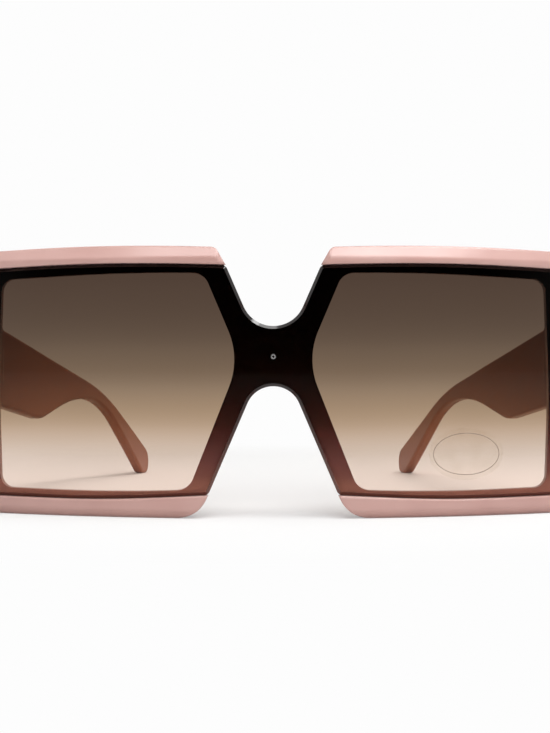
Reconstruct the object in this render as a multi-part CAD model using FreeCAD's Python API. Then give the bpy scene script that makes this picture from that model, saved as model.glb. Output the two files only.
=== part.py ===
import FreeCAD, Part
import math
import os

from FreeCAD import Vector

os.makedirs("parts", exist_ok=True)

# Oversized sunglasses with a one-piece shield lens, in millimetres.
# +Z is up from the table, the front faces -Y and +X is the wearer's left.
# The origin lies on the table in the middle of the footprint.

# Whole front, seen from in front
FRONT_WIDTH = 150.0
FRONT_HEIGHT = 65.6
WRAP_RADIUS = 180.0          # front face of the shield, seen from above
SEAM_GAP = 0.12              # parting line between a bar and the shield
SEAT_GAP = 0.05              # glue line behind the shield and the bars

# Shield lens
SHIELD_THICKNESS = 1.8
SHIELD_MARGIN = 0.6          # shield stops short of the frame's outer edge
SHIELD_CORNER_RADIUS = 1.2
SHIELD_EDGE_BEVEL = 0.7

# Bridge: the notch above it and the nose arch below it
NOTCH_DEPTH = 19.75          # from the top of the front down to the bridge
BRIDGE_DEPTH = 14.35         # from the notch to the nose arch
NOTCH_HALF_WIDTH = 11.35     # at the upper seam
NOTCH_RADIUS = 7.7
ARCH_HALF_WIDTH = 15.5       # at the lower seam
ARCH_RADIUS = 6.7

# Bars above and below the shield
UPPER_BAR_HEIGHT = 4.45
LOWER_BAR_HEIGHT = 4.25
BAR_PROUD = 1.5              # how far a bar stands in front of the shield
UPPER_BAR_BEVEL = 3.45
UPPER_BAR_BEVEL_DEPTH = 2.2
LOWER_BAR_BEVEL = 1.9
LOWER_BAR_BEVEL_DEPTH = 1.6
BAR_END_BEVEL = 0.9          # bevel on a bar's ends
BAR_END_BEVEL_DEPTH = 1.3
BAR_EDGE_ROUND = 0.3
UPPER_BAR_LEAN = 2.5         # inner end leans outwards by this over its height
UPPER_BAR_INNER_RADIUS = 2.0
UPPER_BAR_OUTER_RADIUS = 2.6
LOWER_BAR_INNER_RADIUS = 8.0
LOWER_BAR_OUTER_RADIUS = 2.6
BROW_INNER_DROP = 0.85       # the brow line falls from its crest to each end
BROW_OUTER_DROP = 1.15
SILL_INNER_RISE = 1.4        # the lower seam rises from its lowest point to each end
SILL_OUTER_RISE = 0.3
BROW_RADIUS = 600.0          # gentle curve of the brow lines
SILL_RADIUS = 350.0          # gentle curve of the lower seam
CREST_SHARE = 0.55           # place of crest and lowest point, of the half width

# Frame behind the shield
FRAME_THICKNESS = 3.0
FRAME_INSET = 0.3            # frame stays this far inside the shield and the bars
FRAME_REAR_ROUND = 0.8
BRIDGE_WIDTH = 18.5          # between the two eye openings
END_RIM = 6.9                # outboard of an eye opening
BROW_RIM = 2.75              # above an eye opening, up to the seam
SILL_RIM = 1.8               # below an eye opening, down to the seam
# Eye opening from its nasal point: across, up and rounding, of lens width, height and height
OPENING_SHARES = [
    (-0.023, 0.612, 0.335),
    (0.125, 1.005, 0.080),
    (0.450, 1.009, 9.0),
    (0.983, 0.987, 0.060),
    (1.002, 0.430, 4.0),
    (0.988, 0.005, 0.062),
    (0.500, -0.004, 9.0),
    (0.187, 0.010, 0.085),
]

# Bridge rivet
RIVET_SHARE = 0.49           # height of the rivet, of the bridge's depth
RIVET_SHANK_RADIUS = 0.5
RIVET_HEAD_RADIUS = 0.75
RIVET_HEAD_THICKNESS = 0.4
RIVET_BORE_RADIUS = 0.3      # hollow front end, as a tubular rivet has
RIVET_BORE_DEPTH = 0.8
RIVET_TAIL_THICKNESS = 0.35
RIVET_FIT = 0.03
WASHER_RADIUS = 1.4
WASHER_THICKNESS = 0.4

# Nose pads, domes on the back of the rim
PAD_SHARE = 0.5              # middle of the pad, of the nose arch's height
PAD_LENGTH = 14.0
PAD_WIDTH = 4.3
PAD_DEPTH = 6.2

# Hinges: pivot place, knuckles, leaves and screws
HINGE_HEIGHT = 36.4          # middle of the knuckles above the table
HINGE_INSET = 5.2            # pivot from the frame's outer edge
HINGE_SETBACK = 3.85         # pivot behind the rim's back
TEMPLE_CANT = 13.3           # degrees that an open temple leans inwards
KNUCKLE_RADIUS = 1.3
KNUCKLE_HEIGHT = 1.7
KNUCKLE_GAP = 0.1
KNUCKLE_COUNT = 5
PIN_RADIUS = 0.7
PIN_FIT = 0.03
PIN_HEAD_RADIUS = 1.1
PIN_HEAD_HEIGHT = 0.6
PIN_SLOT_WIDTH = 0.3
PIN_SLOT_DEPTH = 0.35
SWING_GAP = 0.2              # knuckles to the pieces that they swing past
LEAF_THICKNESS = 1.1
LEAF_FIT = 0.05
FRONT_LEAF_HEIGHT = 15.0
TEMPLE_LEAF_LENGTH = 8.0
LEAF_SCREW_RADIUS = 0.45
LEAF_SCREW_HEAD_RADIUS = 0.8
LEAF_SCREW_HEAD_DEPTH = 0.4
LEAF_SCREW_LENGTH = 2.2
FRONT_LEAF_SCREW_MARGIN = 1.4    # from the leaf's upper and lower ends
TEMPLE_LEAF_SCREW_SHARES = [0.45, 0.8]   # along the temple leaf
TEMPLE_LEAF_SCREW_RISE = 1.9     # above the middle of the knuckles

# End pieces of the frame, which take the front hinge leaves
END_PIECE_WALL = 0.9         # inboard of the hinge leaf
END_PIECE_DEPTH = 9.0
END_PIECE_HEIGHT = 20.6
END_PIECE_ROUND = 1.5

# Temples
TEMPLE_THICKNESS = 3.4
TEMPLE_LENGTH = 127.5        # from the joint with the end piece to the tip
TEMPLE_ROOT_TOP = 11.4       # upper edge at the joint, above the hinge's middle
TEMPLE_EDGE_ROUND = 0.9
MITRE_GAP = 0.2              # open joint between end piece and temple
# Side outline from the joint: along, up and rounding, of length, rise and length
TEMPLE_SHARES = [
    (0.0, 1.0, 0.0),
    (0.645, 0.597, 0.94),
    (1.0, 0.128, 0.094),
    (0.976, 0.0, 0.039),
    (0.937, 0.0, 0.040),
    (0.640, 0.540, 0.41),
    (0.445, 0.560, 0.60),
    (0.259, 0.450, 0.12),
    (0.0, 0.567, 0.0),
]

# Core wires in the temples
CORE_WIDTH = 1.4
CORE_THICKNESS = 0.9
CORE_FIT = 0.05
CORE_COVER = 1.0             # temple material outside the core
# Middle line of the core: along, up and bend, of temple length, rise and length
CORE_SHARES = [
    (0.0, 0.70, 0.0),
    (0.565, 0.592, 0.3),
    (0.659, 0.521, 0.2),
    (0.769, 0.377, 0.3),
    (0.918, 0.149, 0.0),
]

# Clear oval film on the shield
STICKER_SHARE = 0.637        # middle of the film across the eye opening
STICKER_RISE = 9.0           # middle of the film above the eye opening's lower line
STICKER_WIDTH = 18.6
STICKER_DEPTH = 12.6
STICKER_THICKNESS = 0.12
STICKER_GLUE = 0.02

# Shared by all cuts
OVERRUN = 2.0
FRONT_ROUND_SHARE = 0.92     # most of a side that the roundings at its ends may take, on the front
TEMPLE_ROUND_SHARE = 0.98    # and on a temple

# Worked out from the sizes above
HALF_WIDTH = FRONT_WIDTH / 2
CREST_X = CREST_SHARE * HALF_WIDTH
BAR_FRONT_RADIUS = WRAP_RADIUS + BAR_PROUD
SHIELD_BACK_RADIUS = WRAP_RADIUS - SHIELD_THICKNESS
SEAT_RADIUS = SHIELD_BACK_RADIUS - SEAT_GAP
FRAME_BACK_RADIUS = SEAT_RADIUS - FRAME_THICKNESS
UPPER_SEAM = FRONT_HEIGHT - UPPER_BAR_HEIGHT
NOTCH_Z = UPPER_SEAM - BROW_INNER_DROP
ARCH_Z = LOWER_BAR_HEIGHT + SILL_INNER_RISE
BRIDGE_TOP = FRONT_HEIGHT - NOTCH_DEPTH
BRIDGE_BOTTOM = BRIDGE_TOP - BRIDGE_DEPTH
RIVET_HEIGHT = BRIDGE_BOTTOM + RIVET_SHARE * BRIDGE_DEPTH
PAD_HEIGHT = ARCH_Z + PAD_SHARE * (BRIDGE_BOTTOM - ARCH_Z)
LENS_SILL = LOWER_BAR_HEIGHT + SILL_RIM
LENS_HEIGHT = UPPER_SEAM - BROW_RIM - LENS_SILL
LENS_WIDTH = HALF_WIDTH - END_RIM - BRIDGE_WIDTH / 2
STICKER_OFFSET = BRIDGE_WIDTH / 2 + STICKER_SHARE * LENS_WIDTH
STICKER_HEIGHT = LENS_SILL + STICKER_RISE
HINGE_OFFSET = HALF_WIDTH - HINGE_INSET
RIM_BACK_DEPTH = WRAP_RADIUS - math.sqrt(FRAME_BACK_RADIUS ** 2 - HINGE_OFFSET ** 2)
HINGE_DEPTH = RIM_BACK_DEPTH + HINGE_SETBACK
TEMPLE_RISE = HINGE_HEIGHT + TEMPLE_ROOT_TOP
MITRE = -(KNUCKLE_RADIUS + SWING_GAP)
TEMPLE_ROOT = MITRE + MITRE_GAP
TEMPLE_INNER = KNUCKLE_RADIUS + SWING_GAP
TEMPLE_OUTER = TEMPLE_INNER + TEMPLE_THICKNESS
KNUCKLE_PITCH = KNUCKLE_HEIGHT + KNUCKLE_GAP
KNUCKLE_STACK = KNUCKLE_COUNT * KNUCKLE_PITCH - KNUCKLE_GAP
KNUCKLE_FOOT = HINGE_HEIGHT - KNUCKLE_STACK / 2
CANT = math.radians(TEMPLE_CANT)
TEMPLE_REACH = (
    HINGE_DEPTH
    + (TEMPLE_ROOT + TEMPLE_LENGTH) * math.cos(CANT)
    + TEMPLE_INNER * math.sin(CANT)
)
APEX_Y = -(TEMPLE_REACH - BAR_PROUD) / 2
AXIS_Y = APEX_Y + WRAP_RADIUS


def front_plane(x, z):
    return Vector(x, APEX_Y - BAR_PROUD - OVERRUN, z)


def side_plane(along, z):
    return Vector(0, along, z)


def rounded_edges(corners, plane, round_share, closed=True):
    """Lines and tangent arcs through (across, up, rounding) corners."""
    points = [plane(across, up) for across, up, _ in corners]
    count = len(points)
    sides = [points[(i + 1) % count] - points[i] for i in range(count)]
    halves = [(-sides[i - 1]).getAngle(sides[i]) / 2 for i in range(count)]
    tangents = [corner[2] / math.tan(half) for corner, half in zip(corners, halves)]
    if not closed:
        tangents[0] = tangents[-1] = 0
    room = []
    for i, side in enumerate(sides):
        wanted = tangents[i] + tangents[(i + 1) % count]
        room.append(min(1, round_share * side.Length / wanted) if wanted > 0 else 1)
    edges = []
    first = last = points[0]
    for i, (point, half) in enumerate(zip(points, halves)):
        tangent = tangents[i] * min(room[i - 1], room[i])
        before = (-sides[i - 1]).normalize()
        after = Vector(sides[i]).normalize()
        start = point + before * tangent
        end = point + after * tangent
        if i == 0:
            first = start
        else:
            edges.append(Part.makeLine(last, start))
        if tangent > 0:
            reach = tangent / math.cos(half) - tangent * math.tan(half)
            arc = Part.Arc(start, point + (before + after).normalize() * reach, end)
            edges.append(arc.toShape())
        last = end
    if closed:
        edges.append(Part.makeLine(last, first))
    return edges


def outline(corners, plane=front_plane, round_share=FRONT_ROUND_SHARE):
    return Part.Wire(rounded_edges(corners, plane, round_share))


def mirrored_corners(corners):
    """A half outline on +X, from its first corner on the middle plane to its last, made whole."""
    other_half = [(-x, z, rounding) for x, z, rounding in reversed(corners[1:-1])]
    return corners + other_half


def front_prism(wire):
    return Part.Face(wire).extrude(Vector(0, WRAP_RADIUS, 0))


def wrap_cylinder(radius):
    foot = Vector(0, AXIS_Y, -OVERRUN)
    return Part.makeCylinder(radius, FRONT_HEIGHT + 2 * OVERRUN, foot)


def wrapped(wire, outer_radius, inner_radius):
    """The part of a front outline's prism between two radii of the wrapped front."""
    solid = front_prism(wire).common(wrap_cylinder(outer_radius))
    return solid.cut(wrap_cylinder(inner_radius))


def edges_at_radius(solid, radius, tolerance_share=1e-5):
    """Edges that lie on the wrapped front's cylinder of this radius."""
    found = []
    for edge in solid.Edges:
        points = edge.discretize(3)
        spread = [abs(math.hypot(p.x, p.y - AXIS_Y) - radius) for p in points]
        if max(spread) < tolerance_share * radius:
            found.append(edge)
    return found


def wrap_y(x, radius):
    """Y of the wrapped front's cylinder of this radius."""
    return AXIS_Y - math.sqrt(radius ** 2 - x ** 2)


def valley_corner(half_width, end_z, apex_z, radius):
    """Corner on the middle plane whose rounding reaches apex_z and whose side ends at half_width."""
    up = math.copysign(1, end_z - apex_z)
    run = up * (end_z - apex_z) - radius
    slope = math.atan2(half_width, run) - math.asin(radius / math.hypot(half_width, run))
    return end_z - up * half_width / math.tan(slope)


def shield_corners():
    outer = HALF_WIDTH - SHIELD_MARGIN
    return [
        (0, valley_corner(NOTCH_HALF_WIDTH, NOTCH_Z, BRIDGE_TOP, NOTCH_RADIUS), NOTCH_RADIUS),
        (NOTCH_HALF_WIDTH, NOTCH_Z, SHIELD_CORNER_RADIUS),
        (CREST_X, UPPER_SEAM, BROW_RADIUS),
        (outer, UPPER_SEAM - BROW_OUTER_DROP, SHIELD_CORNER_RADIUS),
        (outer, LOWER_BAR_HEIGHT + SILL_OUTER_RISE, SHIELD_CORNER_RADIUS),
        (CREST_X, LOWER_BAR_HEIGHT, SILL_RADIUS),
        (ARCH_HALF_WIDTH, ARCH_Z, SHIELD_CORNER_RADIUS),
        (0, valley_corner(ARCH_HALF_WIDTH, ARCH_Z, BRIDGE_BOTTOM, ARCH_RADIUS), ARCH_RADIUS),
    ]


def lower_bar_foot_x():
    """The lower bar's inner end runs on along the side of the nose arch to the table."""
    arch = shield_corners()
    side_x, side_z = arch[6][0] - arch[7][0], arch[7][1] - arch[6][1]
    return ARCH_HALF_WIDTH + side_x / side_z * arch[6][1]


def upper_bar_corners():
    shield = shield_corners()
    inner_top = (
        NOTCH_HALF_WIDTH + UPPER_BAR_LEAN,
        FRONT_HEIGHT - BROW_INNER_DROP,
        UPPER_BAR_INNER_RADIUS,
    )
    return [
        (NOTCH_HALF_WIDTH, shield[1][1] + SEAM_GAP, 0),
        inner_top,
        (CREST_X, FRONT_HEIGHT, BROW_RADIUS),
        (HALF_WIDTH, FRONT_HEIGHT - BROW_OUTER_DROP, UPPER_BAR_OUTER_RADIUS),
        (HALF_WIDTH, shield[3][1] + SEAM_GAP, 0),
        (CREST_X, UPPER_SEAM + SEAM_GAP, BROW_RADIUS),
    ]


def lower_bar_corners():
    shield = shield_corners()
    return [
        (ARCH_HALF_WIDTH, shield[6][1] - SEAM_GAP, 0),
        (CREST_X, LOWER_BAR_HEIGHT - SEAM_GAP, SILL_RADIUS),
        (HALF_WIDTH, shield[4][1] - SEAM_GAP, 0),
        (HALF_WIDTH, 0, LOWER_BAR_OUTER_RADIUS),
        (lower_bar_foot_x(), 0, LOWER_BAR_INNER_RADIUS),
    ]


def frame_corners():
    shield = shield_corners()
    upper = upper_bar_corners()
    lower = lower_bar_corners()
    return [shield[0], shield[1]] + upper[1:4] + lower[3:5] + [shield[7]]


def opening_corners():
    corners = []
    for across, up, rounding in OPENING_SHARES:
        x = BRIDGE_WIDTH / 2 + across * LENS_WIDTH
        corners.append((x, LENS_SILL + up * LENS_HEIGHT, rounding * LENS_HEIGHT))
    return corners


def flipped(shape):
    """The same piece on the other side of the middle plane."""
    return shape.mirror(Vector(0, 0, 0), Vector(1, 0, 0))


def at_hinge(shape):
    """From the hinge's own frame (X outwards, Y along the temple) to the wearer's left hinge."""
    placed = shape.copy()
    placed.rotate(Vector(0, 0, 0), Vector(0, 0, 1), TEMPLE_CANT)
    placed.translate(Vector(HINGE_OFFSET, APEX_Y + HINGE_DEPTH, 0))
    return placed


def block(low, high):
    size = high - low
    return Part.makeBox(size.x, size.y, size.z, low)


def shield_lens():
    solid = wrapped(outline(mirrored_corners(shield_corners())), WRAP_RADIUS, SHIELD_BACK_RADIUS)
    solid = solid.makeChamfer(SHIELD_EDGE_BEVEL, edges_at_radius(solid, WRAP_RADIUS))
    return solid.cut(rivet_hole())


def rivet_hole():
    start = Vector(0, APEX_Y - OVERRUN, RIVET_HEIGHT)
    length = OVERRUN + WRAP_RADIUS - FRAME_BACK_RADIUS + OVERRUN
    return Part.makeCylinder(RIVET_SHANK_RADIUS + RIVET_FIT, length, start, Vector(0, 1, 0))


def bar_profile(bevel, depth, end_z, up):
    """Solid of revolution about the wrap axis: the bars' front face, bevelled towards end_z."""
    bevel_z = end_z - up * bevel
    far_z = bevel_z - up * FRONT_HEIGHT
    points = [
        Vector(0, AXIS_Y, far_z),
        Vector(BAR_FRONT_RADIUS, AXIS_Y, far_z),
        Vector(BAR_FRONT_RADIUS, AXIS_Y, bevel_z),
        Vector(BAR_FRONT_RADIUS - depth, AXIS_Y, end_z),
        Vector(0, AXIS_Y, end_z),
    ]
    face = Part.Face(Part.makePolygon(points + points[:1]))
    turned = face.revolve(Vector(0, AXIS_Y, 0), Vector(0, 0, 1), 180)
    turned.rotate(Vector(0, AXIS_Y, 0), Vector(0, 0, 1), 180)
    return turned


def bar_front_edges(solid):
    """Edges of a bar's front face and bevels, all clear of its back."""
    found = []
    for edge in solid.Edges:
        radii = [math.hypot(p.x, p.y - AXIS_Y) for p in edge.discretize(3)]
        if min(radii) > SHIELD_BACK_RADIUS + BAR_EDGE_ROUND:
            found.append(edge)
    return found


def end_bevel(foot, head):
    """Wedge that bevels the front edge of a bar's end, which runs from foot to head."""
    along = Vector(head[0] - foot[0], 0, head[1] - foot[1])
    length = along.Length
    along.normalize()
    inwards = along.cross(Vector(0, 1, 0))
    if inwards.x * (CREST_X - foot[0]) < 0:
        inwards = -inwards
    back_y = wrap_y(foot[0], BAR_FRONT_RADIUS) + BAR_END_BEVEL_DEPTH
    front_y = wrap_y(foot[0] + inwards.x * BAR_END_BEVEL, BAR_FRONT_RADIUS)
    start = Vector(foot[0], 0, foot[1]) - along * OVERRUN
    edge = Vector(0, back_y, 0)
    slope = (inwards * BAR_END_BEVEL + Vector(0, front_y - back_y, 0)).normalize()
    points = [
        start + edge - slope * OVERRUN,
        start + edge + slope * (BAR_END_BEVEL + OVERRUN) * 2,
        start + edge - slope * OVERRUN + Vector(0, front_y - back_y - 2 * OVERRUN - BAR_END_BEVEL, 0),
    ]
    face = Part.Face(Part.makePolygon(points + points[:1]))
    return face.extrude(along * (length + 2 * OVERRUN))


def upper_bar():
    corners = upper_bar_corners()
    profile = bar_profile(UPPER_BAR_BEVEL, UPPER_BAR_BEVEL_DEPTH, FRONT_HEIGHT, 1)
    solid = front_prism(outline(corners)).common(profile)
    solid = solid.cut(wrap_cylinder(SHIELD_BACK_RADIUS))
    solid = solid.cut(end_bevel(corners[0], corners[1]))
    solid = solid.cut(end_bevel(corners[4], corners[3]))
    return solid.makeFillet(BAR_EDGE_ROUND, bar_front_edges(solid))


def lower_bar():
    corners = lower_bar_corners()
    profile = bar_profile(LOWER_BAR_BEVEL, LOWER_BAR_BEVEL_DEPTH, 0, -1)
    solid = front_prism(outline(corners)).common(profile)
    solid = solid.cut(wrap_cylinder(SHIELD_BACK_RADIUS))
    solid = solid.cut(end_bevel(corners[3], corners[2]))
    return solid.makeFillet(BAR_EDGE_ROUND, bar_front_edges(solid))


def end_piece():
    """Block behind the rim that carries the front leaf and meets the temple."""
    inner = -(KNUCKLE_RADIUS + END_PIECE_WALL)
    low = Vector(inner, MITRE - END_PIECE_DEPTH, HINGE_HEIGHT - END_PIECE_HEIGHT / 2)
    high = Vector(TEMPLE_OUTER + OVERRUN, MITRE, HINGE_HEIGHT + END_PIECE_HEIGHT / 2)
    solid = block(low, high)
    inner_edges = []
    for edge in solid.Edges:
        points = edge.discretize(2)
        runs_along = abs(points[0].y - points[1].y) > 0
        if runs_along and max(p.x for p in points) < 0:
            inner_edges.append(edge)
    return at_hinge(solid.makeFillet(END_PIECE_ROUND, inner_edges))


def front_frame():
    rim = outline(mirrored_corners(frame_corners())).makeOffset2D(-FRAME_INSET)
    solid = wrapped(rim, SEAT_RADIUS, FRAME_BACK_RADIUS)
    opening = front_prism(outline(opening_corners()))
    solid = solid.cut(opening).cut(flipped(opening))
    solid = solid.makeFillet(FRAME_REAR_ROUND, edges_at_radius(solid, FRAME_BACK_RADIUS))
    lug = end_piece().common(front_prism(rim)).common(wrap_cylinder(SEAT_RADIUS))
    solid = solid.fuse(lug).fuse(flipped(lug)).removeSplitter()
    hinge_cut = at_hinge(front_leaf_pocket().fuse(front_leaf_screws(PIN_FIT)))
    return solid.cut(hinge_cut).cut(flipped(hinge_cut)).cut(rivet_hole())


def bridge_rivet():
    forward = Vector(0, 1, 0)
    head_y = APEX_Y - RIVET_HEAD_THICKNESS
    tail_y = APEX_Y + WRAP_RADIUS - FRAME_BACK_RADIUS + WASHER_THICKNESS + SEAT_GAP
    head = Part.makeCone(
        RIVET_HEAD_RADIUS - RIVET_HEAD_THICKNESS / 2, RIVET_HEAD_RADIUS,
        RIVET_HEAD_THICKNESS, Vector(0, head_y, RIVET_HEIGHT), forward,
    )
    shank = Part.makeCylinder(
        RIVET_SHANK_RADIUS, tail_y - APEX_Y, Vector(0, APEX_Y, RIVET_HEIGHT), forward,
    )
    tail = Part.makeCone(
        RIVET_HEAD_RADIUS, RIVET_SHANK_RADIUS, RIVET_TAIL_THICKNESS,
        Vector(0, tail_y, RIVET_HEIGHT), forward,
    )
    bore = Part.makeCylinder(
        RIVET_BORE_RADIUS, RIVET_BORE_DEPTH, Vector(0, head_y, RIVET_HEIGHT), forward,
    )
    return head.fuse(shank).fuse(tail).removeSplitter().cut(bore)


def rivet_washer():
    start = Vector(0, APEX_Y + WRAP_RADIUS - FRAME_BACK_RADIUS + SEAT_GAP, RIVET_HEIGHT)
    disc = Part.makeCylinder(WASHER_RADIUS, WASHER_THICKNESS, start, Vector(0, 1, 0))
    return disc.cut(rivet_hole())


def nose_pad():
    """Half of an ellipsoid, standing on the back of the rim along the nose arch."""
    shield = shield_corners()
    side = Vector(shield[6][0], 0, shield[6][1] - shield[7][1])
    lean = math.degrees(math.atan2(side.x, -side.z))
    share = (PAD_HEIGHT - shield[6][1]) / -side.z
    arch_x = shield[6][0] - side.x * share
    middle_x = arch_x + FRAME_INSET + PAD_WIDTH / 2 / math.cos(math.radians(lean))
    scale = FreeCAD.Matrix()
    scale.scale(PAD_WIDTH / 2, PAD_DEPTH, PAD_LENGTH / 2)
    dome = Part.makeSphere(1).transformGeometry(scale)
    dome.rotate(Vector(0, 0, 0), Vector(0, 1, 0), -lean)
    dome.translate(Vector(middle_x, wrap_y(middle_x, FRAME_BACK_RADIUS), PAD_HEIGHT))
    return dome.common(wrap_cylinder(FRAME_BACK_RADIUS - SEAT_GAP))


def knuckle(index, web_low, web_high):
    """One knuckle of a hinge with the web that joins it to its leaf."""
    foot = KNUCKLE_FOOT + index * KNUCKLE_PITCH
    barrel = Part.makeCylinder(KNUCKLE_RADIUS, KNUCKLE_HEIGHT, Vector(0, 0, foot))
    web = block(Vector(*web_low, foot), Vector(*web_high, foot + KNUCKLE_HEIGHT))
    return barrel.fuse(web)


def pin_bore():
    foot = Vector(0, 0, KNUCKLE_FOOT - OVERRUN)
    return Part.makeCylinder(PIN_RADIUS + PIN_FIT, KNUCKLE_STACK + 2 * OVERRUN, foot)


def front_leaf_block(clearance):
    half = FRONT_LEAF_HEIGHT / 2 + clearance
    low = Vector(-KNUCKLE_RADIUS - clearance, MITRE - LEAF_THICKNESS - clearance, HINGE_HEIGHT - half)
    high = Vector(KNUCKLE_RADIUS + clearance, MITRE, HINGE_HEIGHT + half)
    return block(low, high)


def front_leaf_pocket():
    pocket = front_leaf_block(LEAF_FIT)
    mouth = front_leaf_block(LEAF_FIT)
    mouth.translate(Vector(0, LEAF_THICKNESS, 0))
    return pocket.fuse(mouth)


def leaf_screw(clearance):
    """Countersunk screw at the origin, pointing along +X, its head flush with the plane X = 0."""
    radius = LEAF_SCREW_RADIUS + clearance
    head_radius = LEAF_SCREW_HEAD_RADIUS + clearance
    along = Vector(1, 0, 0)
    head = Part.makeCone(head_radius, radius, LEAF_SCREW_HEAD_DEPTH, Vector(0, 0, 0), along)
    shank = Part.makeCylinder(radius, LEAF_SCREW_LENGTH + clearance, Vector(0, 0, 0), along)
    return head.fuse(shank).removeSplitter()


def front_leaf_screws(clearance=0):
    screws = []
    for side in (-1, 1):
        reach = FRONT_LEAF_HEIGHT / 2 - FRONT_LEAF_SCREW_MARGIN
        screw = leaf_screw(clearance)
        screw.rotate(Vector(0, 0, 0), Vector(0, 0, 1), -90)
        screw.translate(Vector(0, MITRE, HINGE_HEIGHT + side * reach))
        screws.append(screw)
    return Part.makeCompound(screws)


def front_leaf():
    web_low = (-KNUCKLE_RADIUS, MITRE)
    web_high = (KNUCKLE_RADIUS, 0)
    leaf = front_leaf_block(0)
    for index in range(0, KNUCKLE_COUNT, 2):
        leaf = leaf.fuse(knuckle(index, web_low, web_high))
    return leaf.removeSplitter().cut(pin_bore()).cut(front_leaf_screws(PIN_FIT))


def temple_leaf_block(clearance):
    half = KNUCKLE_STACK / 2 + clearance
    low = Vector(TEMPLE_INNER, TEMPLE_ROOT, HINGE_HEIGHT - half)
    high = Vector(
        TEMPLE_INNER + LEAF_THICKNESS + clearance,
        TEMPLE_ROOT + TEMPLE_LEAF_LENGTH + clearance,
        HINGE_HEIGHT + half,
    )
    return block(low, high)


def temple_leaf_screws(clearance=0):
    screws = []
    for share in TEMPLE_LEAF_SCREW_SHARES:
        screw = leaf_screw(clearance)
        along = TEMPLE_ROOT + share * TEMPLE_LEAF_LENGTH
        screw.translate(Vector(TEMPLE_INNER, along, HINGE_HEIGHT + TEMPLE_LEAF_SCREW_RISE))
        screws.append(screw)
    return Part.makeCompound(screws)


def temple_leaf():
    web_low = (0, -KNUCKLE_RADIUS)
    web_high = (TEMPLE_INNER + LEAF_THICKNESS, KNUCKLE_RADIUS)
    leaf = temple_leaf_block(0)
    for index in range(1, KNUCKLE_COUNT, 2):
        leaf = leaf.fuse(knuckle(index, web_low, web_high))
    return leaf.removeSplitter().cut(pin_bore()).cut(temple_leaf_screws(PIN_FIT))


def hinge_screw():
    """Slotted screw, the pin that a temple turns on."""
    top = KNUCKLE_FOOT + KNUCKLE_STACK
    shank = Part.makeCylinder(PIN_RADIUS, KNUCKLE_STACK, Vector(0, 0, KNUCKLE_FOOT))
    head = Part.makeCylinder(PIN_HEAD_RADIUS, PIN_HEAD_HEIGHT, Vector(0, 0, top))
    rim = [edge for edge in head.Edges if edge.BoundBox.ZMin > top]
    head = head.makeFillet(PIN_HEAD_HEIGHT - PIN_SLOT_DEPTH, rim)
    low = Vector(-PIN_HEAD_RADIUS - OVERRUN, -PIN_SLOT_WIDTH / 2, top + PIN_HEAD_HEIGHT - PIN_SLOT_DEPTH)
    high = Vector(PIN_HEAD_RADIUS + OVERRUN, PIN_SLOT_WIDTH / 2, top + PIN_HEAD_HEIGHT + OVERRUN)
    return shank.fuse(head).removeSplitter().cut(block(low, high))


def temple_corners(shares):
    corners = []
    for along, up, rounding in shares:
        corners.append((TEMPLE_ROOT + along * TEMPLE_LENGTH, up * TEMPLE_RISE, rounding * TEMPLE_LENGTH))
    return corners


def core_ribbon(clearance):
    """Flat strip along the core's middle line."""
    corners = temple_corners(CORE_SHARES)
    line = Part.Wire(rounded_edges(corners, side_plane, TEMPLE_ROUND_SHARE, closed=False))
    face = line.makeOffset2D(CORE_WIDTH / 2 + clearance, fill=True, openResult=True)
    strip = face.extrude(Vector(CORE_THICKNESS + 2 * clearance, 0, 0))
    strip.translate(Vector(TEMPLE_OUTER - CORE_COVER - CORE_THICKNESS - clearance, 0, 0))
    return strip


def core_wire():
    """The strip, cut square just inside the temple's joint."""
    low = Vector(TEMPLE_INNER, TEMPLE_ROOT - CORE_WIDTH, 0)
    high = Vector(TEMPLE_OUTER, TEMPLE_ROOT + CORE_FIT, TEMPLE_RISE)
    return core_ribbon(0).cut(block(low, high))


def temple():
    side = Part.Face(outline(temple_corners(TEMPLE_SHARES), side_plane, TEMPLE_ROUND_SHARE))
    solid = side.extrude(Vector(TEMPLE_THICKNESS, 0, 0))
    solid.translate(Vector(TEMPLE_INNER, 0, 0))
    rim = []
    for edge in solid.Edges:
        flat = edge.BoundBox.XLength < TEMPLE_EDGE_ROUND
        at_joint = edge.BoundBox.YMax < TEMPLE_ROOT + TEMPLE_EDGE_ROUND
        if flat and not at_joint:
            rim.append(edge)
    solid = solid.makeFillet(TEMPLE_EDGE_ROUND, rim)
    solid = solid.cut(temple_leaf_block(LEAF_FIT))
    return solid.cut(temple_leaf_screws(PIN_FIT)).cut(core_ribbon(CORE_FIT))


def lens_sticker():
    centre = front_plane(STICKER_OFFSET, STICKER_HEIGHT)
    oval = Part.Ellipse(
        centre + Vector(STICKER_WIDTH / 2, 0, 0), centre + Vector(0, 0, STICKER_DEPTH / 2), centre,
    )
    film_back = WRAP_RADIUS + STICKER_GLUE
    return wrapped(Part.Wire(oval.toShape()), film_back + STICKER_THICKNESS, film_back)


def save(name, shape):
    if shape.ShapeType == "Compound" and len(shape.Solids) == 1:
        shape = shape.Solids[0]
    shape.exportStep("parts/" + name + ".step")
    box = shape.BoundBox
    print(
        name, len(shape.Solids), "valid" if shape.isValid() else "INVALID",
        "volume %.3f" % shape.Volume,
        "x %.2f %.2f y %.2f %.2f z %.2f %.2f"
        % (box.XMin, box.XMax, box.YMin, box.YMax, box.ZMin, box.ZMax),
    )


def save_pair(name, left):
    save(name + "_left", left)
    save(name + "_right", flipped(left))


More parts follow.
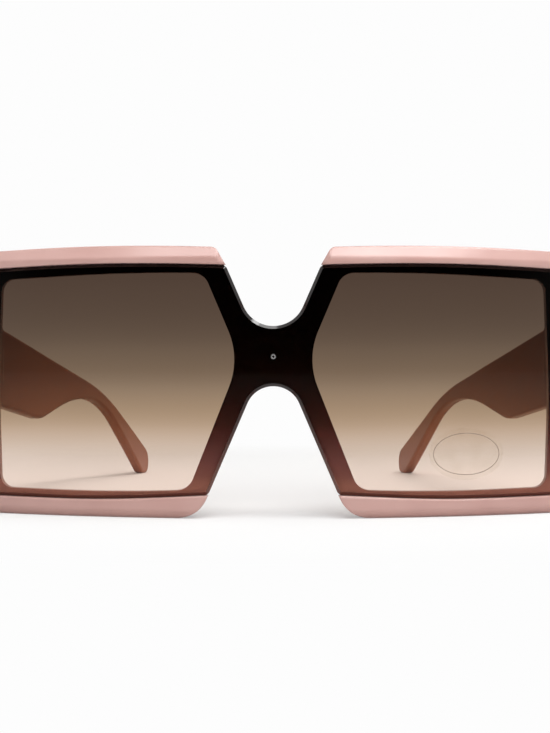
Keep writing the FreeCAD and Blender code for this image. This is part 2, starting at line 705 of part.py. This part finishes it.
save("front_frame", front_frame())
save("shield_lens", shield_lens())
save_pair("upper_bar", upper_bar())
save_pair("lower_bar", lower_bar())
save("bridge_rivet", bridge_rivet())
save("rivet_washer", rivet_washer())
save_pair("nose_pad", nose_pad())
save_pair("front_leaf", at_hinge(front_leaf()))
save_pair("front_leaf_screws", at_hinge(front_leaf_screws()))
save_pair("hinge_screw", at_hinge(hinge_screw()))
save_pair("temple", at_hinge(temple()))
save_pair("temple_leaf", at_hinge(temple_leaf()))
save_pair("temple_leaf_screws", at_hinge(temple_leaf_screws()))
save_pair("core_wire", at_hinge(core_wire()))
save("lens_sticker", lens_sticker())
print("hinge pivot x %.3f y %.3f" % (HINGE_OFFSET, APEX_Y + HINGE_DEPTH))
print("shield apex y %.3f, lens opening %.2f by %.2f" % (APEX_Y, LENS_WIDTH, LENS_HEIGHT))
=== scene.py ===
# %% [markdown]
# A pair of oversized sunglasses with a one-piece shield lens, dressed for a studio picture.
# Every rigid piece already exists as a solid, so this lesson gives each one its real material,
# adds the few things that are only printed or lit, and sets the table, the lamps and the camera.
# All places are in metres: +Z is up from the table, and the lens faces -Y.

# %% Load the solids
import math

import bmesh
import bpy
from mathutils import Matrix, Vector


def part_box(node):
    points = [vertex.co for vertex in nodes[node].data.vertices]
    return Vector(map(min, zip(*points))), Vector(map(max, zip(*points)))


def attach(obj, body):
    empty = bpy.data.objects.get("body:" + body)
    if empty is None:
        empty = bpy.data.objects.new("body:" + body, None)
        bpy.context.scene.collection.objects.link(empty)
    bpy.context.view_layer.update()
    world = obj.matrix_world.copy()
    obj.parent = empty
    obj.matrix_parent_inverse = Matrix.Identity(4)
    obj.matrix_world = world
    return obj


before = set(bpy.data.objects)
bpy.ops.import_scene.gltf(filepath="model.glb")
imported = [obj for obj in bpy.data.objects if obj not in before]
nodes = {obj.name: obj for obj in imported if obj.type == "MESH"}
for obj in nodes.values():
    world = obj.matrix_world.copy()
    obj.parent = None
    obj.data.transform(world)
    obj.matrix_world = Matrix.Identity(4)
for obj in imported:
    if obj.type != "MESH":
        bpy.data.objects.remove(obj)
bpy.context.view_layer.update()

# %% [markdown]
# Colours are given as the hex values that any paint program shows. Blender's shaders
# work in linear light, so one function turns a hex value into linear numbers. A second function
# adds one shader node with its options and inputs, which keeps every material short to read.

# %% Colour and node helpers
MM = 0.001


def linear(hex_value):
    """Linear red, green, blue and alpha from a hex value, by the sRGB curve."""
    shades = [int(hex_value[i:i + 2], 16) / 255 for i in (1, 3, 5)]
    straight = [s / 12.92 if s <= 0.04045 else ((s + 0.055) / 1.055) ** 2.4 for s in shades]
    return (*straight, 1.0)


def add(tree, kind, inputs=None, **options):
    """Adds one node. Each input is either a socket to link from or a plain value."""
    node = tree.nodes.new("ShaderNode" + kind)
    for name, value in options.items():
        setattr(node, name, value)
    for name, value in (inputs or {}).items():
        if isinstance(value, bpy.types.NodeSocket):
            tree.links.new(value, node.inputs[name])
        else:
            node.inputs[name].default_value = value
    return node


def fresh(name):
    """A new material with an empty node tree and its output node."""
    material = bpy.data.materials.new(name)
    material.use_nodes = True
    tree = material.node_tree
    tree.nodes.clear()
    return material, tree, tree.nodes.new("ShaderNodeOutputMaterial")


print("dusty pink in linear light", [round(c, 3) for c in linear("#c89e96")])

# %% [markdown]
# The picture was taken level, about a third of a metre in front of the bridge. Such a short
# distance matters: it makes the temples' far ends look much smaller than their roots. The focal
# length follows from the picture's height of 733 pixels, and a very small shift centres the bridge.

# %% Camera
BRIDGE_FRONT_Y = -72.435 * MM
CAMERA_DISTANCE = 325 * MM
CAMERA_HEIGHT = 36.2 * MM
CAMERA_TURN = math.radians(0.1)
FOCAL_LENGTH, SENSOR_WIDTH = 67.19, 36   # millimetres, as on a real camera
SIDE_SHIFT = 0.0023                      # share of the picture's longer side
NEAREST = 10 * MM

camera = bpy.data.objects.new("camera", bpy.data.cameras.new("camera"))
bpy.context.collection.objects.link(camera)
camera.data.lens = FOCAL_LENGTH
camera.data.sensor_width = SENSOR_WIDTH
camera.data.shift_x = SIDE_SHIFT
camera.data.clip_start = NEAREST
camera.location = (
    CAMERA_DISTANCE * math.sin(CAMERA_TURN),
    BRIDGE_FRONT_Y - CAMERA_DISTANCE * math.cos(CAMERA_TURN),
    CAMERA_HEIGHT,
)
camera.rotation_euler = (math.pi / 2, 0, CAMERA_TURN)
bpy.context.scene.camera = camera
bpy.context.scene.view_settings.view_transform = "Standard"
print("camera at", [round(v, 3) for v in camera.location])

# %% [markdown]
# The table is plain white laminate. A white that is lit only by lamps turns grey in the distance,
# so rays that look at the table see a mix: behind the lens mostly the lit surface, which carries
# the soft shadow of the temples, and further away a plain glow that stays white. Rays that have
# already bounced off a matt surface see only the lit one, so the glow adds no light to the object.

# %% White table
TABLE_HALF = 6.0
SHADED_MIDDLE = (0, 0.05, 0)             # on the table, between the temples
SHADED_REACH, GLOW_REACH = 0.09, 0.20    # distances from there: mostly lit, only glowing
LEAST_GLOW = 0.20
STUDIO_WHITE = linear("#fdfdfd")


def object_from(bm, name):
    """Turns an edited mesh into an object of the scene."""
    mesh = bpy.data.meshes.new(name)
    bm.to_mesh(mesh)
    bm.free()
    thing = bpy.data.objects.new(name, mesh)
    bpy.context.collection.objects.link(thing)
    return thing


def maths(tree, operation, first, second):
    return add(tree, "Math", {0: first, 1: second}, operation=operation).outputs[0]


def remap(tree, value, start=0.0, end=1.0, low=0.0, high=1.0, soft_ends=False):
    """Maps start to end onto low to high, in a straight line or with soft ends."""
    steps = {"Value": value, "From Min": start, "From Max": end, "To Min": low, "To Max": high}
    kind = "SMOOTHSTEP" if soft_ends else "LINEAR"
    return add(tree, "MapRange", steps, interpolation_type=kind).outputs["Result"]


def mix(tree, share, first, second):
    """The first shader where the share is 0, the second where it is 1."""
    return add(tree, "MixShader", {0: share, 1: first, 2: second}).outputs[0]


def looks_at_set(tree, *kinds):
    """1 for rays of these kinds that haven't bounced off a matt surface, otherwise 0."""
    path = add(tree, "LightPath").outputs
    seen = path[kinds[0]]
    for kind in kinds[1:]:
        seen = maths(tree, "MAXIMUM", seen, path[kind])
    # The depth counts bounces, a whole number, so less than a half means none.
    unbounced = maths(tree, "LESS_THAN", path["Diffuse Depth"], 0.5)
    return maths(tree, "MULTIPLY", seen, unbounced)


def object_place(tree):
    return add(tree, "TexCoord").outputs["Object"]


bm = bmesh.new()
bmesh.ops.create_grid(bm, x_segments=1, y_segments=1, size=TABLE_HALF)
table = object_from(bm, "table")

material, tree, output = fresh("white_laminate")
ends = {0: object_place(tree), 1: SHADED_MIDDLE}
away = add(tree, "VectorMath", ends, operation="DISTANCE").outputs["Value"]
glow_share = remap(tree, away, SHADED_REACH, GLOW_REACH, LEAST_GLOW, 1.0, soft_ends=True)
seen = looks_at_set(tree, "Is Camera Ray", "Is Transmission Ray", "Is Glossy Ray")
share = maths(tree, "MULTIPLY", seen, glow_share)
lit = add(tree, "BsdfDiffuse", {"Color": linear("#eeedec"), "Roughness": 0.5}).outputs[0]
glow = add(tree, "Emission", {"Color": STUDIO_WHITE, "Strength": 1.0}).outputs[0]
tree.links.new(mix(tree, share, lit, glow), output.inputs["Surface"])
table.data.materials.append(material)
print("table", [round(v, 2) for v in table.dimensions])

# %% [markdown]
# The space round the glasses is a white tent with a dark opening for the camera: polished edges
# mirror the white sides, and the dark opening is why the lens shows hardly any reflection. The
# direction of a mirror ray picks between the two, rays to the camera or through the lens always
# see white, and every other ray gets a weak even light that leaves the modelling to the lamps.

# %% White surroundings
world = bpy.data.worlds.new("studio")
bpy.context.scene.world = world
world.use_nodes = True
tree = world.node_tree
tree.nodes.clear()
output = tree.nodes.new("ShaderNodeOutputWorld")
direction = add(tree, "SeparateXYZ", {0: add(tree, "TexCoord").outputs["Generated"]})


def front_to_back(front, back, start, end):
    """A strength that rises from the camera's side of the tent to the rest of it."""
    return remap(tree, direction.outputs["Y"], start, end, front, back, soft_ends=True)


def backdrop(colour, strength):
    return add(tree, "Background", {"Color": colour, "Strength": strength}).outputs[0]


weak = front_to_back(front=0.24, back=0.26, start=-0.35, end=0.25)
mirrored = front_to_back(front=0.05, back=1.0, start=-0.75, end=-0.30)
mirror_rays = looks_at_set(tree, "Is Glossy Ray")
unseen = mix(tree, mirror_rays, backdrop(linear("#ffffff"), weak), backdrop(STUDIO_WHITE, mirrored))
seen = looks_at_set(tree, "Is Camera Ray", "Is Transmission Ray")
whole = mix(tree, seen, unseen, backdrop(STUDIO_WHITE, 1.0))
tree.links.new(whole, output.inputs["Surface"])
print("surroundings", len(tree.nodes), "nodes")

# %% [markdown]
# Four soft lamps do the rest. The long one overhead lights the upper bevels, which are the
# brightest pink in the picture, and draws the glint along the bottom of the notch. A narrow,
# stronger one to the right of it is mirrored along the inner half of the right upper bar. A weak
# one behind, to the right, lights the temples' tips, and one in front fills the faces that look at
# the camera. All four stay outside what the lens mirrors, because a lamp seen in it would show as
# a white patch.

# %% Lamps
FRONT_MIDDLE = (0, -0.05, 0.03)


def soft_lamp(name, place, aim, size, watts):
    """An even rectangle of light that faces a point."""
    lamp = bpy.data.objects.new(name, bpy.data.lights.new(name, "AREA"))
    lamp.data.shape = "RECTANGLE"
    lamp.data.size, lamp.data.size_y = size
    lamp.data.energy = watts
    lamp.location = place
    lamp.rotation_euler = (Vector(aim) - Vector(place)).to_track_quat("-Z", "Y").to_euler()
    bpy.context.collection.objects.link(lamp)


soft_lamp("overhead", (0.08, -0.15, 0.80), FRONT_MIDDLE, size=(0.8, 0.36), watts=3.7)
soft_lamp("narrow_key", (0.30, -0.25, 0.80), FRONT_MIDDLE, size=(0.60, 0.18), watts=2.3)
soft_lamp("behind_right", (0.40, 0.50, 0.60), (0, 0, 0.02), size=(0.4, 0.4), watts=0.8)
soft_lamp("front_fill", (0.12, -0.75, 0.45), (0, -0.07, 0.03), size=(0.5, 0.5), watts=2.2)

# %% [markdown]
# The frame, bars, temples and pads are cellulose acetate, cut from sheet and then tumbled with
# wooden pegs and polishing paste until they shine. Pastel acetate is opaque, but its colour is
# never quite even, and tumbling rounds the edges first, so they are glossier; their paler colour
# is partly that wear and partly a painted highlight.
# The bevel node finds those edges: it bends the normal near an edge, and the bend is the mask.
# A second bevel node, wider on the bars, passes its bent normal on, which softens their facets.
# The outer faces of the temples are dusty pink, as on the bars, and the frame, the pads and the
# temples' inner faces a deeper rose; that split is a guess, and the rose is painted shade: the pink
# as it looks shaded by the front and lit brown through the lens. It is made by giving the outer
# faces a second material, which stays put when a temple folds.

# %% Dusty-pink acetate
ACETATE_IOR = 1.48
SHARP, FLAT = 0.80, 0.99                 # how well bent and true normals agree there
EDGE_PALER_WITH_HIGHLIGHT, EDGE_GLOSSIER = 0.5, 0.08
OUTER_FACE = 0.35                        # least sideways part of an outer face's normal
MIX_FIRST, MIX_SECOND, MIX_RESULT = 6, 7, 2   # colour sockets, after those for other types


def bent_normal(tree, radius, samples):
    """The normal, turned near edges as if they had a radius of this many millimetres."""
    return add(tree, "Bevel", {"Radius": radius * MM}, samples=samples).outputs["Normal"]


def edge_mask(tree, radius):
    """1 on the sharpest outer edges, falling to 0 on the flats."""
    bent = bent_normal(tree, radius, samples=4)
    true = add(tree, "NewGeometry").outputs["Normal"]
    agree = add(tree, "VectorMath", {0: bent, 1: true}, operation="DOT_PRODUCT").outputs["Value"]
    return remap(tree, agree, start=FLAT, end=SHARP)


def noise(tree, place, size, detail=2.0, **inputs):
    """A cloudy texture with features of about this many millimetres."""
    inputs.update({"Vector": place, "Scale": 1 / (size * MM), "Detail": detail})
    return add(tree, "TexNoise", inputs).outputs["Fac"]


def bumps(tree, height, strength, depth, **inputs):
    """Normals for a relief of this many millimetres."""
    inputs.update({"Height": height, "Strength": strength, "Distance": depth * MM})
    return add(tree, "Bump", inputs).outputs["Normal"]


def ramp(tree, share, stops, interpolation="LINEAR"):
    node = add(tree, "ValToRGB", {0: share})
    node.color_ramp.interpolation = interpolation
    elements = node.color_ramp.elements
    while len(elements) < len(stops):
        elements.new(0.5)
    for element, (position, shade) in zip(elements, stops):
        element.position = position
        element.color = linear(shade)
    return node.outputs["Color"]


def blend(tree, share, first, second):
    """The first colour where the share is 0, the second where it is 1."""
    inputs = {"Factor": share, MIX_FIRST: first, MIX_SECOND: second}
    return add(tree, "Mix", inputs, data_type="RGBA").outputs[MIX_RESULT]


def principled(tree, output, inputs):
    """Adds the main surface shader and links it to the output."""
    shader = add(tree, "BsdfPrincipled", inputs)
    tree.links.new(shader.outputs[0], output.inputs["Surface"])


def dress(material, *names):
    for name in names:
        mesh = nodes[name].data
        mesh.materials.clear()
        mesh.materials.append(material)


def dress_faces(name, material, test):
    """Gives a second material to the faces of a node that pass a test."""
    mesh = nodes[name].data
    mesh.materials.append(material)
    picked = [p for p in mesh.polygons if test(p)]
    for polygon in picked:
        polygon.material_index = len(mesh.materials) - 1
    return len(picked)


def both(name):
    return name + "_left", name + "_right"


def tumbled_acetate(name, base, pale, worn_and_highlit, rough, specular, rounding):
    """Cloudy opaque plastic whose edges show wear and a painted highlight, rounded by this many
    millimetres.
    """
    material, tree, output = fresh(name)
    place = object_place(tree)
    edges = edge_mask(tree, radius=0.4)
    cloud = noise(tree, place, size=14, Roughness=0.45)
    tone = ramp(tree, cloud, [(0.3, base), (0.75, pale)])
    # Paler edges: partly wear and partly a painted highlight.
    rubbed_and_highlit = maths(tree, "MULTIPLY", edges, EDGE_PALER_WITH_HIGHLIGHT)
    # Real peg marks are about a tenth of this size, too fine to show, so they are drawn coarser.
    marks = noise(tree, place, size=2.5, Distortion=0.8)
    gloss = remap(tree, marks, low=rough - 0.03, high=rough + 0.03)
    buffed = maths(tree, "MULTIPLY", edges, -EDGE_GLOSSIER)
    rounded = bent_normal(tree, rounding, samples=8)
    principled(tree, output, {
        "Base Color": blend(tree, rubbed_and_highlit, tone, linear(worn_and_highlit)),
        "Roughness": maths(tree, "ADD", gloss, buffed),
        "Normal": bumps(tree, marks, strength=0.02, depth=0.02, Normal=rounded),
        "IOR": ACETATE_IOR,
        "Specular IOR Level": specular,
    })
    return material


# The edge colour in each set is partly wear and partly a painted highlight.
PINK = "#c89e96", "#d0a8a0", "#dcb9b1"   # base, pale cloud and worn edge
# The rose is painted shade: the pink as it looks shaded by the front and lit brown through the
# lens.
ROSE_IN_SHADE = "#a46850", "#a96f57", "#b88069"
bar_acetate = tumbled_acetate(
    "tumbled_pink_acetate", *PINK, rough=0.15, specular=0.5, rounding=1.0)
shaded_frame_acetate = tumbled_acetate(
    "tumbled_acetate_painted_shade", *ROSE_IN_SHADE, rough=0.30, specular=0.25, rounding=0.4)
shaded_pad_acetate = tumbled_acetate(
    "satin_acetate_painted_shade", *ROSE_IN_SHADE, rough=0.38, specular=0.25, rounding=0.4)
dress(bar_acetate, *both("upper_bar"), *both("lower_bar"))
dress(shaded_frame_acetate, "front_frame", *both("temple"))
dress(shaded_pad_acetate, *both("nose_pad"))
outer_faces = [
    dress_faces("temple_left", bar_acetate, lambda p: p.normal.x > OUTER_FACE),
    dress_faces("temple_right", bar_acetate, lambda p: p.normal.x < -OUTER_FACE),
]
print("acetate", [m.name for m in (bar_acetate, shaded_frame_acetate, shaded_pad_acetate)])
print("outer faces of the temples", outer_faces)

# %% [markdown]
# The shield is glued to the front of the frame. That seat is deeper and redder than a polished
# face, and it darkens upwards faster than the lens does: that is painted shade for the light that
# the tinted lens and the bars keep off the seat. In the picture it darkens upwards faster than the
# lens does; a glue tinted like the lens is a guess that gives that look. Only some faces of the
# frame are the seat, so they get a second material: the mesh keeps its shape, and each face that
# looks outwards from the front's curve is given the other slot.

# %% Lens seat, with painted shade
WRAP_RADIUS = 180 * MM
WRAP_AXIS_Y = BRIDGE_FRONT_Y + WRAP_RADIUS
FACING_OUT = 0.9                         # least outward part of a front face's normal
WANDER = 0.6 * MM                        # how far a colour strays up or down
# Painted shade: the seat's colour darkens upwards, from pale pink near the table to near black.
SEAT_SHADE_STOPS = [
    (5, "#d5a097"), (10, "#a87674"), (18, "#966270"), (29, "#5c1b28"), (45, "#47141b"),
]


def outward(polygon):
    """How far a face looks outwards from the wrapped front: 1 on its front, -1 on its back."""
    away = Vector((polygon.center.x, polygon.center.y - WRAP_AXIS_Y, 0)).normalized()
    return polygon.normal.dot(away)


def by_height(tree, place, stops):
    """A slightly uneven colour by height above the table, from (millimetres, shade) stops."""
    uneven = remap(tree, noise(tree, place, size=25, detail=1.0), low=-WANDER, high=WANDER)
    height = add(tree, "SeparateXYZ", {0: place}).outputs["Z"]
    low, high = stops[0][0], stops[-1][0]
    along = remap(tree, maths(tree, "ADD", height, uneven), low * MM, high * MM)
    shares = [((z - low) / (high - low), shade) for z, shade in stops]
    return ramp(tree, along, shares, "CARDINAL")


material, tree, output = fresh("seat_acetate_painted_shade")
place = object_place(tree)
film = noise(tree, place, size=5)
principled(tree, output, {
    "Base Color": by_height(tree, place, SEAT_SHADE_STOPS),
    "Roughness": remap(tree, film, low=0.45, high=0.6),
    "Normal": bumps(tree, film, strength=0.05, depth=0.02),
    "IOR": ACETATE_IOR,
})
seat_faces = dress_faces("front_frame", material, lambda p: outward(p) > FACING_OUT)
print("seat faces", seat_faces)

# %% [markdown]
# The shield is cut from clear acrylic sheet and bent to the frame's curve. A gradient tint is made
# by hanging it upside down over a dye bath and drawing it up slowly: the top stays in longest and
# goes dark brown, the bottom stays almost clear. Each stop below is the colour of white paper seen
# through the lens at that height in millimetres. A thin anti-reflection coat is why the front
# mirrors so little; a dark specular tint set on the shader itself does that, and a clear shader
# with no tint at all would look like glass.

# %% Gradient shield
ACRYLIC_IOR = 1.49
TINT_STOPS = [
    (4, "#fbe7da"), (14, "#dfccbe"), (22, "#b9a088"),
    (32, "#8a7561"), (42, "#675648"), (57, "#524238"),
]

material, tree, output = fresh("dyed_acrylic")
place = object_place(tree)
# A lens wiped clean keeps faint smears, which show only as a hint of haze in the gloss.
smears = noise(tree, place, size=6, detail=3.0, Distortion=1.5)
principled(tree, output, {
    "Base Color": by_height(tree, place, TINT_STOPS),
    "Roughness": remap(tree, smears, low=0.0, high=0.02),
    "IOR": ACRYLIC_IOR,
    "Transmission Weight": 1.0,
    "Specular Tint": linear("#505050"),
})
dress(material, "shield_lens")
print("tint stops", len(TINT_STOPS))

# %% [markdown]
# The lens's rim is bevelled and polished after dyeing, and has no coat. Seen edge on, the dye of
# both faces adds up, so the rim looks dark and solid with a bright gloss: it draws a fine light
# line round the notch and a dark one along the seams. A plain glossy dark shader gives that more
# surely than tracing light along the inside of the lens would.

# %% Polished rim of the shield
RIM_STOPS = [(4, "#734a40"), (16, "#4e2d24"), (30, "#241310"), (60, "#120a08")]

material, tree, output = fresh("polished_acrylic_rim")
place = object_place(tree)
strokes = noise(tree, place, size=1.5)
principled(tree, output, {
    "Base Color": by_height(tree, place, RIM_STOPS),
    "Roughness": remap(tree, strokes, low=0.06, high=0.14),
    "Normal": bumps(tree, strokes, strength=0.03, depth=0.02),
    "IOR": ACRYLIC_IOR,
})
rim_faces = dress_faces("shield_lens", material, lambda p: abs(outward(p)) < FACING_OUT)
print("rim faces", rim_faces)

# %% [markdown]
# Four metals are used: a polished stud in the bridge, satin nickel silver for the stamped hinge
# leaves, turned steel for the screws and drawn steel for the core wires. Brushing, turning and
# drawing leave lines along one way, which is a noise squeezed across them. Handling rubs the
# edges bright, and the same edge mask as for the acetate shows that, with a painted highlight on
# top. The stud is a hollow rivet, and its bore is painted near black: painted shade for the hole,
# which reads as the dot in the ring.

# %% Metals
EVEN, BRUSHED, TURNED, DRAWN = (1, 1, 1), (1, 1, 12), (1, 1, 8), (8, 1, 8)   # squeeze per axis
BORE_RADIUS, BORE_DEPTH = 0.31 * MM, 0.6 * MM   # what counts as the stud's bore


def worked_metal(name, base, pale, rubbed_and_highlit, rough, line, squeeze):
    """Metal with a grain of this many millimetres, squeezed into lines, and edges polished by
    handling, with a painted highlight.
    """
    material, tree, output = fresh(name)
    edges = edge_mask(tree, radius=0.15)
    steps = {"Vector": object_place(tree), "Scale": squeeze}
    squeezed = add(tree, "Mapping", steps).outputs["Vector"]
    lines = noise(tree, squeezed, size=line, detail=3.0, Roughness=0.6)
    tone = ramp(tree, lines, [(0.3, base), (0.7, pale)])
    principled(tree, output, {
        # Brighter edges: partly wear and partly a painted highlight.
        "Base Color": blend(tree, edges, tone, linear(rubbed_and_highlit)),
        "Roughness": remap(tree, lines, low=rough - 0.08, high=rough + 0.10),
        "Normal": bumps(tree, lines, strength=0.12, depth=0.01),
        "Metallic": 1.0,
    })
    return material


stud_steel = worked_metal(
    "polished_stainless_steel", "#cfcecd", "#dad9d8", "#e6e5e4",
    rough=0.16, line=0.3, squeeze=EVEN)
leaf_metal = worked_metal(
    "satin_nickel_silver", "#c4bdaf", "#d2cbbe", "#e2dccf",
    rough=0.32, line=0.2, squeeze=BRUSHED)
screw_steel = worked_metal(
    "turned_steel", "#b9b9bb", "#c8c8ca", "#dadadb",
    rough=0.24, line=0.15, squeeze=TURNED)
core_steel = worked_metal(
    "drawn_steel_wire", "#a8a6a3", "#b7b5b2", "#c6c4c1",
    rough=0.35, line=0.2, squeeze=DRAWN)
# The bore is painted near black: painted shade in the stud's hollow end.
bore_painted_shade = worked_metal(
    "steel_bore_painted_shade", "#26211f", "#332c29", "#4a413c",
    rough=0.5, line=0.2, squeeze=EVEN)
dress(stud_steel, "bridge_rivet", "rivet_washer")
dress(leaf_metal, *both("front_leaf"), *both("temple_leaf"))
dress(screw_steel, *both("hinge_screw"), *both("front_leaf_screws"), *both("temple_leaf_screws"))
dress(core_steel, *both("core_wire"))

stud_low, stud_high = (Vector(corner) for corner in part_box("bridge_rivet"))
stud_middle = (stud_low + stud_high) / 2


def in_bore(polygon):
    """Whether a face lies in the stud's hollow end."""
    off_axis = polygon.center - stud_middle
    shallow = polygon.center.y < BRIDGE_FRONT_Y + BORE_DEPTH
    return shallow and math.hypot(off_axis.x, off_axis.z) < BORE_RADIUS


bore_faces = dress_faces("bridge_rivet", bore_painted_shade, in_bore)
print("metals", [m.name for m in (stud_steel, leaf_metal, screw_steel, core_steel)])
print("bore faces", bore_faces)

# %% [markdown]
# New sunglasses often carry a clear oval film on one lens, cut from polypropylene. It is almost
# invisible: only a hint of haze and its cut edge show. A thin transmitting shader with a little
# uneven roughness gives that, where a see-through mix would have no edge at all.

# %% Clear film
FILM_IOR = 1.49

material, tree, output = fresh("clear_polypropylene_film")
cloud = noise(tree, object_place(tree), size=3)
principled(tree, output, {
    "Base Color": ramp(tree, cloud, [(0.3, "#f8f6f2"), (0.7, "#fdfcfa")]),
    "Roughness": remap(tree, cloud, low=0.02, high=0.08),
    "IOR": FILM_IOR,
    "Transmission Weight": 1.0,
    "Specular Tint": linear("#6c6c6c"),
})
dress(material, "lens_sticker")
film_middle = [(a + b) / 2 for a, b in zip(*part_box("lens_sticker"))]
print("film middle", [round(v, 4) for v in film_middle])

# %% [markdown]
# The film has one printed line, an oval ring of grey-brown ink, and its middle is left bare. Ink
# has hardly any thickness, so the ring is a flat band of its own: a circle of edges is extruded
# once, the two rims are scaled to the oval, and each vertex is set on the film's curve. That
# stays sharp at any size, where a painted line would need a picture.

# %% Printed ring
INK_RADIUS = WRAP_RADIUS + 0.15 * MM     # just outside the film
RING_WIDTH, RING_HEIGHT, RING_LINE = 16.6 * MM, 10.2 * MM, 0.16 * MM
RING_SEGMENTS = 96

bm = bmesh.new()
inner = bmesh.ops.create_circle(bm, segments=RING_SEGMENTS, radius=1.0)["verts"]
grown = bmesh.ops.extrude_edge_only(bm, edges=bm.edges[:])["geom"]
outer = [v for v in grown if isinstance(v, bmesh.types.BMVert)]
half_width, half_height = RING_WIDTH / 2, RING_HEIGHT / 2
bmesh.ops.scale(bm, vec=(half_width - RING_LINE, half_height - RING_LINE, 1), verts=inner)
bmesh.ops.scale(bm, vec=(half_width, half_height, 1), verts=outer)
for v in bm.verts:
    x = film_middle[0] + v.co.x
    z = film_middle[2] + v.co.y
    v.co = (x, WRAP_AXIS_Y - math.sqrt(INK_RADIUS ** 2 - x ** 2), z)
bmesh.ops.recalc_face_normals(bm, faces=bm.faces)
ring = object_from(bm, "printed_ring")
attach(ring, "front")

material, tree, output = fresh("screen_print_ink")
wear = noise(tree, object_place(tree), size=0.6)
principled(tree, output, {
    "Base Color": ramp(tree, wear, [(0.3, "#806b5d"), (0.7, "#9a8675")]),
    "Roughness": remap(tree, wear, low=0.45, high=0.65),
    "Normal": bumps(tree, wear, strength=0.1, depth=0.01),
})
ring.data.materials.append(material)
print("ring faces", len(ring.data.polygons))
